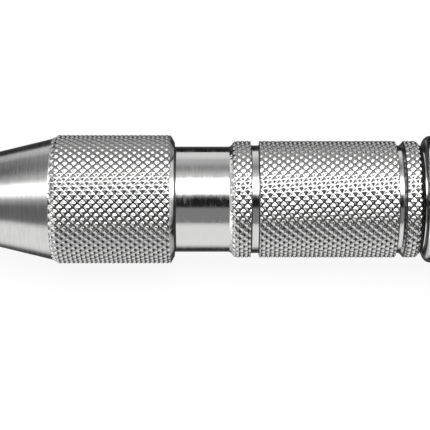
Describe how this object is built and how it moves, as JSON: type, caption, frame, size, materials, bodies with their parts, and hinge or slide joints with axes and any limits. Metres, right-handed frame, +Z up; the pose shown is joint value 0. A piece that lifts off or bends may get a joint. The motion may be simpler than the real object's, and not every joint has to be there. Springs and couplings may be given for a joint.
{
  "type": "automatic center punch",
  "caption": "Automatic center punch: a sprung point in a turned nose cone, a knurled collar, a grooved knurled grip and a screw cap that sets the blow.",
  "frame": {"origin": "the very tip of the point, on the tool's axis, at rest", "axes": "+X along the tool's axis from the tip to the adjusting cap, +Z up with the tool lying down"},
  "size_m": [0.126, 0.016, 0.016],
  "materials": {
    "hardened_steel": "hardened and ground, slightly darker",
    "ground_steel": "ground",
    "blued_steel": "blued spring steel",
    "spring_steel": "drawn wire",
    "turned_steel": "fine turned, with rings round the axis",
    "bronze": "sintered bearing bronze",
    "knurled_steel": "bright diamond knurl",
    "bright_steel": "polished neck and grooves, bright diamond knurl",
    "vulcanised_fibre": "matt",
    "polished_steel": "mirror polish",
    "nylon": "satin"
  },
  "bodies": {
    "barrel": {"barrel": "bright_steel", "front_collar": "knurled_steel", "nose_cone": "turned_steel", "nose_bush": "bronze", "cam_sleeve": "hardened_steel", "buffer_washer": "vulcanised_fibre", "return_spring_washer": "ground_steel", "return_spring": "spring_steel", "main_spring": "spring_steel", "cap_stop_ring": "blued_steel"},
    "punch": {"punch_point": "hardened_steel", "punch_rod": "ground_steel", "rod_stop_ring": "blued_steel"},
    "hammer": {"hammer": "ground_steel", "main_spring_washer": "ground_steel", "latch_leaf_spring": "blued_steel"},
    "latch": {"latch_block": "hardened_steel"},
    "spring_seat": {"spring_seat": "ground_steel", "thrust_ball": "polished_steel"},
    "cap": {"adjusting_cap": "knurled_steel", "cap_friction_ring": "nylon", "cap_dome": "polished_steel"}
  },
  "joints": [
    {"name": "punch_slide", "type": "slide", "parent": "barrel", "child": "punch", "axis": [1, 0, 0], "range_m": [0, 0.01], "stiffness_N_per_m": 470, "springref_m": -0.003, "deforming": ["return_spring"]},
    {"name": "hammer_slide", "type": "slide", "parent": "barrel", "child": "hammer", "axis": [1, 0, 0], "range_m": [0, 0.01], "stiffness_N_per_m": 4150, "springref_m": -0.004, "deforming": ["main_spring"]},
    {"name": "latch_shift", "type": "slide", "parent": "hammer", "child": "latch", "axis": [0, 0, -1], "range_m": [0, 0.0009], "stiffness_N_per_m": 100, "springref_m": -0.0003, "deforming": ["latch_leaf_spring"]},
    {"name": "cap_travel", "type": "slide", "parent": "barrel", "child": "spring_seat", "axis": [1, 0, 0], "range_m": [0, 0.004]},
    {"name": "cap_turn", "type": "hinge", "parent": "spring_seat", "child": "cap", "pos_m": [0.12, 0, 0], "axis": [-1, 0, 0], "range_deg": [0, 1440]}
  ],
  "couplings": [
    {"joint": "hammer_slide", "follows": "punch_slide", "ratio": 1},
    {"joint": "latch_shift", "follows": "punch_slide", "ratio": 0.09},
    {"joint": "cap_turn", "follows": "cap_travel", "rad_per_m": 6283.2}
  ]
}
